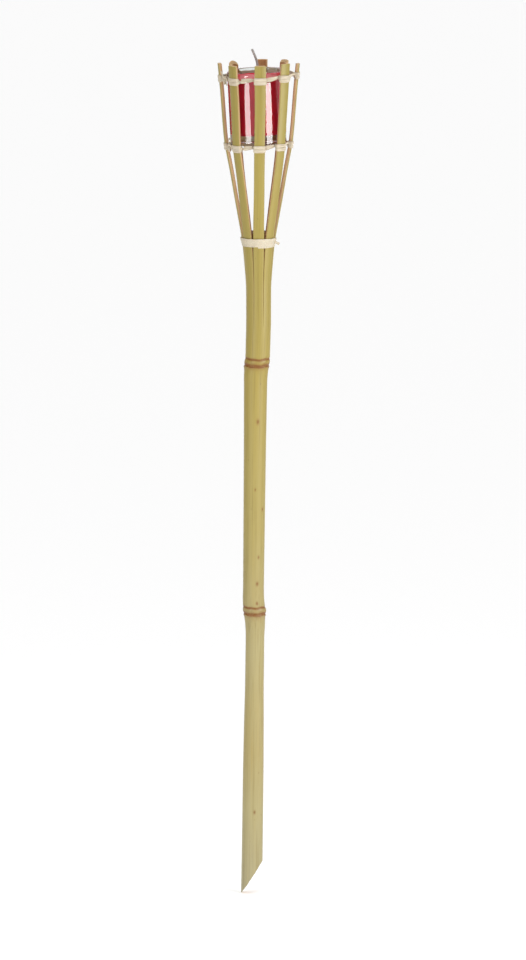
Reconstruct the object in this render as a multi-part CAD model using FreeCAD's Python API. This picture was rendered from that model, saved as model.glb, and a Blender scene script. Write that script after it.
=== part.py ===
"""Bamboo garden torch with a candle glass, in millimetres, +Z up.

One culm makes the pole and the basket. Below the split it is a pole with two nodes and an
obliquely cut foot. Above the split it is sawn into eight staves, which a conical plug and a
binding hold apart at the neck, and which flare out to a basket. Two fibre lashings run round
the basket. The candle glass stands on the lower lashing and lifts out through the mouth.

The origin is on the basket's axis, level with the tip of the foot. The staves count
anticlockwise from above, and stave_1 faces -Y.
"""

import FreeCAD
import Part
import math
import os

V = FreeCAD.Vector
UP = V(0, 0, 1)
ORIGIN = V(0, 0, 0)

# Overall sizes
total_height = 765.0  # tip of the foot to the mean height of the stave tips
glass_base_radius = 25.5  # the basket is made round the glass
mouth_flare = 6.55  # how much further out the tips stand than the seat ring

# Culm
culm_radius = 11.3  # at the split
culm_wall = 3.0
septum = 4.0  # the closed disc inside a node
upper_node_radius = 11.1
upper_waist_radius = 10.4
lower_shoulder_radius = 9.7
waist_radius = 8.6  # below the lower node
foot_radius = 9.5
node_swell = 0.45  # how far a node stands proud of the culm beside it
upper_node_below_split = 35.0
internode_length = 229.0  # upper node to lower node
node_reach = 5.0  # from a node's middle to the end of its swelling
shoulder_reach = 13.0  # from a node's middle to where the plain culm starts
node_kink = 0.3  # how far the axis has moved at the end of the swelling
loft_start_below_node = 14.0
loft_start_radius = 8.7
foot_cylinder_top = 115.0
foot_taper_top = 190.0
foot_cut_height = 30.0  # the slanted cut, from the tip to its upper end
foot_septum_height = 36.0
culm_overlap = 6.0  # the lower internode runs up into the lower node's swelling

# The culm is a little crooked: the X of its axis at each place
offset_split = -0.8
offset_above_upper_node = -1.0
offset_at_upper_node = -1.6
offset_below_upper_node = -2.7
offset_above_lower_node = -4.8
offset_at_lower_node = -3.8
offset_below_lower_node = -3.1
offset_foot = -6.4

# Staves
stave_count = 8
stave_phase = 0.0  # degrees that stave_1 is turned from -Y towards +X
saw_kerf = 0.3
split_below_tips = 240.0
flare_below_tips = 203.0
neck_below_tips = 164.0
seat_below_tips = 75.5
upper_lashing_below_tips = 13.0
neck_radius = 14.65
flare_bend_radius = 160.0
neck_bend_radius = 120.0
seat_bend_radius = 120.0
stave_spare = 12.0  # how far a stave's blank runs past the tips before it is cut to length
tip_trims = [1.3, 2.4, -0.3, -0.3, -1.3, -1.6, -0.8, 0.3]  # each stave's own length

# Cord lashings
cord_width = 3.2
cord_thickness = 1.0
cord_clearance = 0.15
wrap_turns = 2  # outer passes side by side on each stave
link_end_offset = 2.2  # where a link leaves the back of a wrap, from the stave's middle
link_sink = 0.2  # how much deeper than the wrap's middle the link lies
seat_tilt = 2.0  # degrees, -X side lower
upper_lashing_tilt = 3.0
knot_radius = 2.6
knot_stave = 6  # the knot is on the link that starts at stave_7
knot_place = 0.36  # share of the link's length
tail_length = 8.0

# Neck
plug_clearance = 0.3
plug_above_neck = 9.0
plug_below_neck = 26.0
binding_width = 8.6
binding_above_neck = 4.5
binding_thickness = 0.9
binding_clearance = 0.15
binding_tail_length = 6.0
binding_tail_width = 2.8
binding_tail_angle = -18.0
binding_tail_drop = 1.0

# Candle
glass_height = 66.5
glass_flare = 1.0
glass_wall = 2.2
glass_base_thickness = 9.0
glass_foot_fillet = 2.0
glass_floor_fillet = 3.0
glass_rim_fillet = 0.88
seat_overlap = 0.6  # how far the glass's base reaches over the seat ring's links
seat_clearance = 0.35
wax_clearance = 0.05
wax_recess = 6.0  # from the rim down to the wax
wick_radius = 1.05
wick_offset = 1.5  # to +X of the middle of the glass
wick_above_wax = 27.0
wick_bend_height = 14.0  # above the wax
wick_bend_angle = 21.0
wick_bend_radius = 12.0
sustainer_radius = 8.0
sustainer_thickness = 0.4
sustainer_neck_radius = 1.9
sustainer_neck_height = 5.0

# Worked out from the sizes above
pitch = 360.0 / stave_count
half_pitch = math.radians(pitch / 2)
split_z = total_height - split_below_tips
flare_z = total_height - flare_below_tips
neck_z = total_height - neck_below_tips
seat_z = total_height - seat_below_tips
upper_lashing_z = total_height - upper_lashing_below_tips
upper_node_z = split_z - upper_node_below_split
lower_node_z = upper_node_z - internode_length
stave_inner_radius = culm_radius - culm_wall
wrap_height = wrap_turns * cord_width
wrap_grip = cord_clearance + cord_thickness / 2 + link_sink
link_end_depth = (
    culm_radius - math.sqrt(stave_inner_radius**2 - link_end_offset**2) + wrap_grip
)
link_inner_radius = glass_base_radius - seat_overlap
seat_radius = (
    link_inner_radius + cord_thickness / 2 - link_end_offset * math.sin(half_pitch)
) / math.cos(half_pitch) + link_end_depth
mouth_radius = seat_radius + mouth_flare


def stave_angle(index):
    """Degrees anticlockwise from +X to the middle of a stave."""
    return stave_phase - 90.0 + pitch * index


def turned(shape, index):
    """A copy of a shape made at +X, turned to a stave's place."""
    copy = shape.copy()
    copy.rotate(ORIGIN, UP, stave_angle(index))
    return copy


def level_circle(x, z, radius):
    return Part.Wire([Part.makeCircle(radius, V(x, 0, z), UP)])


def revolved(points):
    """A solid of revolution about Z from (radius, height) points joined by straight lines."""
    outline = Part.makePolygon([V(r, 0, z) for r, z in points + points[:1]])
    return Part.Face(outline).revolve(ORIGIN, UP, 360)


def rounded_path(points, radii):
    """Straight runs through the points, with a tangent arc of the given radius at each bend."""
    edges = []
    start = points[0]
    for before, corner, after, radius in zip(points, points[1:], points[2:], radii):
        back = (before - corner).normalize()
        on = (after - corner).normalize()
        half_turn = (math.pi - back.getAngle(on)) / 2
        reach = radius * math.tan(half_turn)
        middle = (back + on).normalize()
        to_arc = radius / math.cos(half_turn) - radius
        first = corner + back * reach
        last = corner + on * reach
        edges.append(Part.LineSegment(start, first).toShape())
        edges.append(Part.Arc(first, corner + middle * to_arc, last).toShape())
        start = last
    edges.append(Part.LineSegment(start, points[-1]).toShape())
    return Part.Wire(edges)


def on_foot_axis(solid):
    """Moves a solid made about Z onto the leaning axis of the foot."""
    lean = math.atan2(offset_below_lower_node - offset_foot, lower_node_z)
    solid.rotate(ORIGIN, V(0, 1, 0), math.degrees(lean))
    solid.translate(V(offset_foot, 0, 0))
    return solid


def lower_culm(inset, bottom, top):
    """The foot's cylinder and the taper above it."""
    profile = [
        (0, bottom),
        (foot_radius - inset, bottom),
        (foot_radius - inset, foot_cylinder_top),
        (waist_radius - inset, foot_taper_top),
        (waist_radius - inset, top),
        (0, top),
    ]
    return on_foot_axis(revolved(profile))


def foot_hollow():
    """The open hollow under the foot's septum."""
    length = foot_septum_height - septum
    return on_foot_axis(Part.makeCylinder(foot_radius - culm_wall, length + 1, V(0, 0, -1)))


def upper_culm():
    """The two upper internodes and both nodes, lofted through level circles."""
    swollen = lower_shoulder_radius + node_swell
    sections = [
        (offset_below_lower_node, lower_node_z - loft_start_below_node, loft_start_radius),
        (offset_below_lower_node - node_kink, lower_node_z - node_reach, lower_shoulder_radius),
        (offset_at_lower_node, lower_node_z, swollen + node_swell),
        (offset_above_lower_node + node_kink, lower_node_z + node_reach, swollen),
        (offset_above_lower_node, lower_node_z + shoulder_reach, lower_shoulder_radius),
        (offset_below_upper_node, upper_node_z - shoulder_reach, upper_waist_radius),
        (offset_below_upper_node + node_kink, upper_node_z - node_reach, upper_node_radius),
        (offset_at_upper_node, upper_node_z, upper_node_radius + node_swell),
        (offset_above_upper_node, upper_node_z + node_reach, upper_node_radius),
        (0.0, split_z, culm_radius),
    ]
    circles = [level_circle(x, z, radius) for x, z, radius in sections]
    return Part.makeLoft(circles, True, True)


def middle_cavity():
    """The sealed hollow between the two nodes."""
    low = level_circle(
        offset_above_lower_node,
        lower_node_z + septum,
        lower_shoulder_radius - culm_wall,
    )
    high = level_circle(
        offset_below_upper_node,
        upper_node_z - septum,
        upper_waist_radius - culm_wall,
    )
    return Part.makeLoft([low, high], True, True)


def top_cavity():
    """The open hollow from the upper node to the split."""
    low = level_circle(offset_split, upper_node_z + septum, stave_inner_radius)
    high = level_circle(0.0, split_z, stave_inner_radius)
    return Part.makeLoft([low, high], True, True)


def foot_waste():
    """What the slanted cut at the foot takes away."""
    reach = 3 * foot_radius
    rise = foot_cut_height / (2 * foot_radius)
    tip = offset_foot - foot_radius
    outline = Part.makePolygon(
        [
            V(tip - reach, -reach, -rise * reach),
            V(tip + reach, -reach, rise * reach),
            V(tip + reach, -reach, -rise * reach),
            V(tip - reach, -reach, -rise * reach),
        ]
    )
    return Part.Face(outline).extrude(V(0, 2 * reach, 0))


def make_pole():
    solid = upper_culm().fuse(lower_culm(0, -1, lower_node_z - culm_overlap))
    solid = solid.cut(lower_culm(culm_wall, foot_septum_height, lower_node_z - septum))
    for hollow in [middle_cavity(), top_cavity(), foot_hollow(), foot_waste()]:
        solid = solid.cut(hollow)
    return solid


def stave_path(top_z):
    """The line down the middle of a stave's outer face, in the XZ plane."""
    rise = (mouth_radius - seat_radius) / seat_below_tips
    points = [
        V(culm_radius, 0, split_z),
        V(culm_radius, 0, flare_z),
        V(neck_radius, 0, neck_z),
        V(seat_radius, 0, seat_z),
        V(seat_radius + rise * (top_z - seat_z), 0, top_z),
    ]
    return rounded_path(points, [flare_bend_radius, neck_bend_radius, seat_bend_radius])


def stave_section():
    """A stave's section: its share of the culm's ring, less half a saw cut on each side.

    The middle of the outer face is at the origin, and the culm's axis lies towards -X.
    """
    outer_half = half_pitch - saw_kerf / 2 / culm_radius
    inner_half = half_pitch - saw_kerf / 2 / stave_inner_radius

    def point(radius, angle):
        return V(radius * math.cos(angle) - culm_radius, radius * math.sin(angle), 0)

    outer_right = point(culm_radius, -outer_half)
    outer_left = point(culm_radius, outer_half)
    inner_left = point(stave_inner_radius, inner_half)
    inner_right = point(stave_inner_radius, -inner_half)
    edges = [
        Part.Arc(outer_right, ORIGIN, outer_left).toShape(),
        Part.LineSegment(outer_left, inner_left).toShape(),
        Part.Arc(inner_left, point(stave_inner_radius, 0), inner_right).toShape(),
        Part.LineSegment(inner_right, outer_right).toShape(),
    ]
    return Part.Wire(edges)


def make_stave(index):
    top_z = total_height + tip_trims[index]
    section = stave_section()
    section.translate(V(culm_radius, 0, split_z))
    blank = stave_path(total_height + stave_spare).makePipeShell([section], True, False)
    waste = Part.makeBox(4 * mouth_radius, 4 * mouth_radius, 4 * stave_spare)
    waste.translate(V(-2 * mouth_radius, -2 * mouth_radius, top_z))
    return turned(blank.cut(waste), index)


def path_point(path, z):
    """The point at a height on a stave's path."""
    level = Part.makeLine(V(0, 0, z), V(2 * mouth_radius, 0, z))
    return path.distToShape(level)[1][0][0]


def lashing_height(index, z, tilt):
    """The height of a tilted lashing where it crosses a stave."""
    path = stave_path(total_height)
    x = path_point(path, z).x * math.cos(math.radians(stave_angle(index)))
    return z + x * math.tan(math.radians(tilt))


def wrap_placement(index, z, tilt):
    """Puts a shape made round the stave's section, from Z 0 up, at the lashing's height."""
    path = stave_path(total_height)
    middle = lashing_height(index, z, tilt)
    low = path_point(path, middle - wrap_height / 2)
    high = path_point(path, middle + wrap_height / 2)
    slope = math.degrees(math.atan2(high.x - low.x, high.z - low.z))
    leaned = FreeCAD.Placement(low, FreeCAD.Rotation(V(0, 1, 0), slope))
    turn = FreeCAD.Placement(ORIGIN, FreeCAD.Rotation(UP, stave_angle(index)))
    return turn.multiply(leaned)


def make_wrap(placement):
    """The cord's turns round one stave, as a sleeve."""
    inner = stave_section().makeOffset2D(cord_clearance)
    outer = stave_section().makeOffset2D(cord_clearance + cord_thickness)
    sleeve = Part.Face(outer).extrude(UP * wrap_height)
    sleeve = sleeve.cut(Part.Face(inner).extrude(UP * wrap_height))
    sleeve.Placement = placement.multiply(sleeve.Placement)
    return sleeve


def bar(start, end, width, thickness):
    """A straight bar between two points, with its width upright and its ends square."""
    along = end - start
    solid = Part.makeBox(along.Length, thickness, width)
    solid.translate(V(0, -thickness / 2, -width / 2))
    side = UP.cross(along).normalize()
    turn = FreeCAD.Rotation(along, side, along.cross(side), "XYZ")
    solid.Placement = FreeCAD.Placement(start, turn).multiply(solid.Placement)
    return solid


def make_knot(on_link):
    """The knot that ties the cord's ends, proud of the link's outer side, and its tail."""
    out = V(on_link.x, on_link.y, 0).normalize()
    centre = on_link + out * (knot_radius - cord_thickness / 2)
    tail = Part.makeCylinder(cord_thickness, tail_length, centre, UP)
    return Part.makeSphere(knot_radius, centre).fuse(tail)


def make_lashing(z, tilt):
    """One cord: a wrap round each stave, a link to the next, and a knot on one link."""
    places = [wrap_placement(index, z, tilt) for index in range(stave_count)]
    lashing = make_wrap(places[0])
    for place in places[1:]:
        lashing = lashing.fuse(make_wrap(place))
    for index, place in enumerate(places):
        following = places[(index + 1) % stave_count]
        start = place.multVec(V(-link_end_depth, link_end_offset, wrap_height / 2))
        end = following.multVec(V(-link_end_depth, -link_end_offset, wrap_height / 2))
        lashing = lashing.fuse(bar(start, end, cord_width, cord_thickness))
        if index == knot_stave:
            lashing = lashing.fuse(make_knot(start + (end - start) * knot_place))
    return lashing


def plug_profile_radius(z):
    """The radius that just fits between the inner corners of the staves at a height."""
    path = stave_path(total_height)
    inner_half = half_pitch - saw_kerf / 2 / stave_inner_radius
    shift = path_point(path, z).x - culm_radius
    across = stave_inner_radius * math.sin(inner_half)
    out = shift + stave_inner_radius * math.cos(inner_half)
    return math.hypot(out, across) - plug_clearance


def make_spreader_plug():
    """A tapered wooden plug, wedged between the staves at the neck."""
    heights = [neck_z - plug_below_neck, neck_z - plug_below_neck / 2, neck_z, neck_z + plug_above_neck]
    sides = [(plug_profile_radius(z), z) for z in heights]
    return revolved([(0, heights[0])] + sides + [(0, heights[-1])])


def make_neck_binding():
    """The flat strip's turns round the neck, as a ring that follows the staves, and its tail."""
    path = stave_path(total_height)
    top = neck_z + binding_above_neck
    heights = [top - binding_width, neck_z, top]
    inner = [(path_point(path, z).x + binding_clearance, z) for z in heights]
    outer = [(r + binding_thickness, z) for r, z in reversed(inner)]
    ring = revolved(inner + outer)
    start = V(neck_radius + binding_clearance, 0, neck_z - binding_tail_width / 2)
    end = start + V(binding_thickness + binding_tail_length, 0, -binding_tail_drop)
    tail = bar(start, end, binding_tail_width, binding_thickness)
    tail.rotate(ORIGIN, UP, binding_tail_angle)
    return ring.fuse(tail)


def glass_outer_radius(height):
    """The glass's outer radius at a height above its base."""
    return glass_base_radius + glass_flare * height / glass_height


def seat_lift():
    """How far above seat_z the glass's base stands, with its rounded foot on the links' edges."""
    link = wrap_placement(0, seat_z, 0).multVec(V(-link_end_depth, 0, wrap_height / 2))
    inside_fillet = glass_foot_fillet - seat_overlap
    fillet_rise = glass_foot_fillet - math.sqrt(glass_foot_fillet**2 - inside_fillet**2)
    return link.z - seat_z + cord_width / 2 + seat_clearance - fillet_rise


def in_seat(shape):
    """Moves a candle part, made upright with its base at Z 0, into the tilted seat."""
    shape.rotate(ORIGIN, V(0, 1, 0), -seat_tilt)
    shape.translate(V(0, 0, seat_z + seat_lift()))
    return shape


def circles_between(solid, low, high):
    """A solid's round edges about Z whose height is between two values."""
    edges = []
    for edge in solid.Edges:
        box = edge.BoundBox
        if low < box.ZMin and box.ZMax < high and edge.Curve.TypeId == "Part::GeomCircle":
            edges.append(edge)
    return edges


def glass_bore():
    """The hollow of the glass, from its floor to its rim."""
    floor_radius = glass_outer_radius(glass_base_thickness) - glass_wall
    rim_radius = glass_outer_radius(glass_height) - glass_wall
    bore = revolved(
        [
            (0, glass_base_thickness),
            (floor_radius, glass_base_thickness),
            (rim_radius, glass_height),
            (0, glass_height),
        ]
    )
    floor_edge = circles_between(bore, glass_base_thickness - 0.01, glass_base_thickness + 0.01)
    return bore.makeFillet(glass_floor_fillet, floor_edge)


def make_glass_cup():
    body = revolved(
        [
            (0, 0),
            (glass_base_radius, 0),
            (glass_outer_radius(glass_height), glass_height),
            (0, glass_height),
        ]
    )
    body = body.makeFillet(glass_foot_fillet, circles_between(body, -0.01, 0.01))
    body = body.cut(glass_bore())
    rim = circles_between(body, glass_height - 0.01, glass_height + 0.01)
    return in_seat(body.makeFillet(glass_rim_fillet, rim))


def wick_path():
    """Up from the sustainer through the wax, then bent over towards -X."""
    wax_top = glass_height - wax_recess
    bend = math.radians(wick_bend_angle)
    rest = wick_above_wax - wick_bend_height
    points = [
        V(wick_offset, 0, glass_base_thickness + sustainer_thickness),
        V(wick_offset, 0, wax_top + wick_bend_height),
        V(wick_offset - rest * math.tan(bend), 0, wax_top + wick_above_wax),
    ]
    return rounded_path(points, [wick_bend_radius])


def make_wick():
    path = wick_path()
    start = V(wick_offset, 0, glass_base_thickness + sustainer_thickness)
    section = Part.Wire([Part.makeCircle(wick_radius, start, UP)])
    return in_seat(path.makePipeShell([section], True, False))


def sustainer_blank(grow):
    """The wick's metal foot: a disc with a crimped neck."""
    base = V(wick_offset, 0, glass_base_thickness - grow)
    disc = Part.makeCylinder(sustainer_radius + grow, sustainer_thickness + 2 * grow, base)
    neck_top = sustainer_neck_height + 2 * grow
    neck = Part.makeCylinder(sustainer_neck_radius + grow, neck_top, base)
    return disc.fuse(neck)


def make_wick_sustainer():
    bore_floor = V(wick_offset, 0, glass_base_thickness + sustainer_thickness)
    bore = Part.makeCylinder(wick_radius + wax_clearance, sustainer_neck_height * 2, bore_floor)
    return in_seat(sustainer_blank(0).cut(bore))


def make_wax():
    """The wax fills the glass up to its recess, round the wick and the sustainer."""
    lid = Part.makeBox(4 * glass_base_radius, 4 * glass_base_radius, glass_height)
    lid.translate(V(-2 * glass_base_radius, -2 * glass_base_radius, glass_height - wax_recess))
    wax = glass_bore().cut(lid)
    skin = revolved(
        [
            (0, 0),
            (glass_outer_radius(0) - glass_wall - wax_clearance, 0),
            (glass_outer_radius(glass_height) - glass_wall - wax_clearance, glass_height),
            (0, glass_height),
        ]
    )
    wax = wax.common(skin)
    channel_floor = V(wick_offset, 0, glass_base_thickness)
    channel = Part.makeCylinder(wick_radius + wax_clearance, glass_height, channel_floor)
    return in_seat(wax.cut(channel).cut(sustainer_blank(wax_clearance)))


def main():
    parts = {
        "pole": make_pole(),
        "spreader_plug": make_spreader_plug(),
        "neck_binding": make_neck_binding(),
        "lower_lashing": make_lashing(seat_z, seat_tilt),
        "upper_lashing": make_lashing(upper_lashing_z, upper_lashing_tilt),
        "glass_cup": make_glass_cup(),
        "wax": make_wax(),
        "wick": make_wick(),
        "wick_sustainer": make_wick_sustainer(),
    }
    for index in range(stave_count):
        parts[f"stave_{index + 1}"] = make_stave(index)
    os.makedirs("parts", exist_ok=True)
    for name, shape in parts.items():
        shape.exportStep(f"parts/{name}.step")
        print(name, len(shape.Solids), shape.isValid(), round(shape.Volume, 1))


main()
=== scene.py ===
"""Bamboo garden torch with a candle glass: its surfaces, finishes, light and camera.

Lengths are in millimetres up to make_piece, which turns them to metres. Surfaces are grids of
points: rows run along a piece and columns run round it.
"""

import bpy
import math
import numpy as np
from mathutils import Matrix, Vector


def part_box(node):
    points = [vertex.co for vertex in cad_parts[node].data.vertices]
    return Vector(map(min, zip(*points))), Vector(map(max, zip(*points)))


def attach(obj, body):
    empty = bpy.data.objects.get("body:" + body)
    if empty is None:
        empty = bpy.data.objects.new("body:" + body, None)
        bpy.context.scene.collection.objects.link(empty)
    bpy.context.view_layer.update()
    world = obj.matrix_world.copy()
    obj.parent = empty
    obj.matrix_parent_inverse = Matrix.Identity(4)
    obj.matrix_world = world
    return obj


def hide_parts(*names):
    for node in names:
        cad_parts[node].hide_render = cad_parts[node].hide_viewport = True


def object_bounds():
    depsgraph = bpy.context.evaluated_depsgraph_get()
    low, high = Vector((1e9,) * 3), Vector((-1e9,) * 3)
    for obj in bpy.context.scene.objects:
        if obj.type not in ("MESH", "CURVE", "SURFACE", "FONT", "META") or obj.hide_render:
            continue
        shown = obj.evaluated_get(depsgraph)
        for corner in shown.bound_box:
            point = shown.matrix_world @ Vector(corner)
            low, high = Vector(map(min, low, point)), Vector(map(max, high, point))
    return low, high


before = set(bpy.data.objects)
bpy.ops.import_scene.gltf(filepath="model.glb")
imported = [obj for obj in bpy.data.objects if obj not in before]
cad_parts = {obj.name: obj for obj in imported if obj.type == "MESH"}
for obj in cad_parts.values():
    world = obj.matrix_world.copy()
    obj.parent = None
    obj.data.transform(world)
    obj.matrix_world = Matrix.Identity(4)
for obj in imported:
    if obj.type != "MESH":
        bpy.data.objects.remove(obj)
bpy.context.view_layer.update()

MM = 0.001


def top_of(node):
    """The height of a CAD node's highest point, in millimetres."""
    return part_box(node)[1].z / MM


def bottom_of(node):
    """The height of a CAD node's lowest point, in millimetres."""
    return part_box(node)[0].z / MM


# Culm
CULM_RADIUS = 11.3
CULM_WALL = 3.0
SPLIT = bottom_of("stave_1")
UPPER_NODE = SPLIT - 35.0
LOWER_NODE = UPPER_NODE - 229.0
FOOT_RADIUS = 9.5
FOOT_CUT = 30.0
FOOT_SEPTUM = 32.0
TOP_SEPTUM = UPPER_NODE + 4.0
NODE_LEAN = -0.3  # how much higher a node's ring stands on the +X side than in the middle

MARKS = (  # small brown bruises on the skin: height, degrees from the front towards +X, size
    (437.0, 14.0, 2.2),
    (356.0, 49.0, 1.5),
    (312.0, 26.0, 1.4),
    (287.5, 20.0, 1.9),
    (269.5, 18.0, 1.6),
    (374.5, 4.0, 1.2),
    (76.0, 10.0, 1.6),
)

# Staves
STAVES = 8
STAVE_PHASE = 0.0
STAVE_LEANS = (3.2, -1.8, -6.0, 3.4, -5.7, -5.0, -5.0, 4.2)  # degrees anticlockwise at the tips
STAVE_TWISTS = (4.0, -3.0, 2.0, -5.0, 3.0, -2.0, 4.0, -4.0)  # degrees about its own length
STAVE_WIDTHS = (1.07, 1.02, 0.97, 1.02, 1.0, 1.03, 0.97, 1.07)  # times an even share
END_SLOPES = (0.0, 0.1, 0.15, 0.9, 0.1, 1.0, 0.1, 0.0)  # how steeply the end falls inwards
END_CROWNS = (0.1, 0.2, 0.1, 0.5, 0.1, 1.6, 0.2, 0.3)  # how far the end falls at its sides
HALF_PITCH = math.pi / STAVES
KERF = 0.3
STAVE_INNER = CULM_RADIUS - CULM_WALL
FLARE = SPLIT + 37.0
NECK = SPLIT + 76.0
SEAT = SPLIT + 164.5
TIPS = SPLIT + 240.0
NECK_RADIUS = 14.65
SEAT_RADIUS = 30.75
TIP_RADIUS = 37.3

# Cord and binding
CORD_WIDTH = 3.3
CORD_THICKNESS = 1.0
UPPER_LASHING = TIPS - 13.0
SEAT_TILT = math.radians(2.0)
UPPER_TILT = math.radians(3.0)
# The lashings' loose ends: stops from the knot, in X, Y and Z
SEAT_ENDS = (
    ((0, 0, -1), (-0.6, -0.4, 4), (-1.2, -0.8, 7.5), (0.6, -1.0, 8.5), (1.4, -0.8, 6.0), (0.8, -0.4, 1.0)),
)
CROWN_ENDS = (
    ((0, 0, 0), (-1.6, 0.6, 4), (-3.4, 1.4, 8.2)),
    ((0, 0, 0), (1.8, -1.2, -3.2), (2.6, -1.6, -5.5)),
)
STRIP_WIDTH = 3.7
STRIP_THICKNESS = 0.35

# Candle
GLASS_HEIGHT = 66.5
GLASS_BASE_RADIUS = 25.5
GLASS_FLARE = 1.0
GLASS_WALL = 2.2
GLASS_FLOOR = 9.0
FOOT_FILLET = 2.0
WAX_TOP = GLASS_HEIGHT - 6.0
WICK_OFFSET = 1.5
GLASS_BASE = bottom_of("glass_cup") + (GLASS_BASE_RADIUS - FOOT_FILLET) * math.sin(SEAT_TILT)


# Camera, in metres, degrees and millimetres of lens
CAMERA_AIM = (0.0040, 0.0, 0.3820)
CAMERA_ELEVATION = 9.0
CAMERA_DISTANCE = 12.0
CAMERA_LENS = 494.1

# Patterns: width across the fibres and length along them. The real fibres are finer than these,
# too fine to show, so each is drawn as coarse as it needs to be.
STREAK = (1.1, 83.0)
PATCH = (9.0, 83.0)
SCAR_RAG = (1.7, 2.0)
FLECK_SPACING = (6.2, 18.0)
SKIN_FIBRE = (0.42, 33.0)
SPLIT_FIBRE = (0.55, 33.0)
BUNDLE = (0.53, 50.0)
CORD_THREAD = (0.45, 8.3)
STRIP_THREAD = (0.33, 0.83)


# ---------------------------------------------------------------- camera

def make_camera():
    """A long lens a little above the middle of the torch, looking at its front."""
    elevation = math.radians(CAMERA_ELEVATION)
    aim = Vector(CAMERA_AIM)
    back = Vector((0.0, -math.cos(elevation), math.sin(elevation)))
    data = bpy.data.cameras.new("camera")
    data.lens = CAMERA_LENS
    data.sensor_width = 36.0
    camera = bpy.data.objects.new("camera", data)
    camera.location = aim + back * CAMERA_DISTANCE
    camera.rotation_euler = (-back).to_track_quat("-Z", "Y").to_euler()
    bpy.context.scene.collection.objects.link(camera)
    bpy.context.scene.camera = camera


# ---------------------------------------------------------------- meshes

def grid_faces(rows, columns, first):
    """Quads between neighbouring rows of a grid whose columns close on themselves."""
    row = np.arange(rows - 1)[:, None] * columns
    here = np.arange(columns)[None, :]
    after = (here + 1) % columns
    corners = [row + here, row + after, row + columns + after, row + columns + here]
    return np.stack(np.broadcast_arrays(*corners), axis=-1).reshape(-1, 4) + first


def closed_mesh(grids):
    """Points and faces of tubes that are shut at both ends by a fan to the end row's middle."""
    points = []
    faces = []
    first = 0
    for grid in grids:
        rows, columns, _ = grid.shape
        ends = np.stack([grid[0].mean(axis=0), grid[-1].mean(axis=0)])
        points.append(np.concatenate([grid.reshape(-1, 3), ends]))
        here = np.arange(columns)
        after = (here + 1) % columns
        low = first + rows * columns
        last_row = first + (rows - 1) * columns
        faces += grid_faces(rows, columns, first).tolist()
        faces += np.stack([here + first, np.full(columns, low), after + first], axis=1).tolist()
        faces += np.stack([last_row + here, last_row + after, np.full(columns, low + 1)], axis=1).tolist()
        first = low + 2
    return np.concatenate(points), faces


def looped_mesh(grids):
    """Points and faces of tubes whose last row joins their first."""
    points = []
    faces = []
    first = 0
    for grid in grids:
        rows, columns, _ = grid.shape
        closed = grid_faces(rows + 1, columns, 0) % (rows * columns)
        points.append(grid.reshape(-1, 3))
        faces += (closed + first).tolist()
        first += rows * columns
    return np.concatenate(points), faces


def make_piece(name, mesh_data, material, body, nodes, second=None, in_second=None, fields=None):
    """One visible piece, in metres, that rides on a body and stands for CAD nodes.

    in_second marks the faces that take the second material. fields maps an attribute's name
    to its value at each point.
    """
    points, faces = mesh_data
    mesh = bpy.data.meshes.new(name)
    mesh.from_pydata((points * MM).tolist(), [], faces)
    mesh.materials.append(material)
    if second:
        mesh.materials.append(second)
        mesh.polygons.foreach_set("material_index", np.asarray(in_second, dtype=np.int32))
    for field, values in (fields or {}).items():
        kind = "FLOAT_VECTOR" if values.ndim == 2 else "FLOAT"
        attribute = mesh.attributes.new(field, kind, "POINT")
        key = "vector" if values.ndim == 2 else "value"
        attribute.data.foreach_set(key, values.astype(np.float32).ravel())
    mesh.polygons.foreach_set("use_smooth", np.ones(len(mesh.polygons), dtype=bool))
    mesh.update()
    mesh.set_sharp_from_angle(angle=math.radians(50))
    piece = bpy.data.objects.new(name, mesh)
    bpy.context.scene.collection.objects.link(piece)
    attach(piece, body)
    if nodes:
        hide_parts(*nodes)
    return piece


def with_ends(values):
    """A grid's values as a list, with the end rows' means added for the fans' middle points."""
    ends = np.stack([values[0].mean(axis=0), values[-1].mean(axis=0)])
    flat = values.reshape(-1, *values.shape[2:])
    return np.concatenate([flat, ends])


def soft_interp(at, known, values, width):
    """Straight interpolation, averaged over a window of the given width to round its corners."""
    offsets = np.linspace(-0.5, 0.5, 9) * width
    return np.mean([np.interp(at + shift, known, values) for shift in offsets], axis=0)


def bump(at, middle, width):
    """A bell curve of height one."""
    return np.exp(-(((at - middle) / width) ** 2))


def wander(at, seed, amount, *waves):
    """A slow, smooth wandering: a few sine waves of the given lengths with seeded phases."""
    phases = np.random.default_rng(seed).uniform(0, 2 * math.pi, len(waves))
    waves_sum = sum(np.sin(2 * math.pi * at / length + phase) for length, phase in zip(waves, phases))
    return amount * waves_sum / len(waves)


# ---------------------------------------------------------------- materials

def colour(code):
    """An sRGB hex colour as linear red, green, blue and alpha."""
    parts = [int(code[i : i + 2], 16) / 255 for i in (1, 3, 5)]
    return [p / 12.92 if p <= 0.04045 else ((p + 0.055) / 1.055) ** 2.4 for p in parts] + [1.0]


def add(owner, kind, settings=None, inputs=None, stops=None):
    """Adds a node to a material or world. An input is named or numbered, and is a value or the
    output of another node to link. Stops are a colour ramp's places and hex colours."""
    node = owner.node_tree.nodes.new(kind)
    for name, value in (settings or {}).items():
        setattr(node, name, value)
    for name, value in (inputs or {}).items():
        if isinstance(value, bpy.types.NodeSocket):
            owner.node_tree.links.new(value, node.inputs[name])
        else:
            node.inputs[name].default_value = value
    for index, (place, code) in enumerate(stops or []):
        elements = node.color_ramp.elements
        element = elements[index] if index < len(elements) else elements.new(place)
        element.position = place
        element.color = colour(code)
    return node


def new_material(name):
    """A material with an empty node tree."""
    material = bpy.data.materials.new(name)
    material.use_nodes = True
    material.node_tree.nodes.clear()
    return material


def grain_scale(size):
    """A pattern's scale on the grain: one over its width, twice, and one over its length."""
    width, length = size
    return (1 / width, 1 / width, 1 / length)


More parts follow.
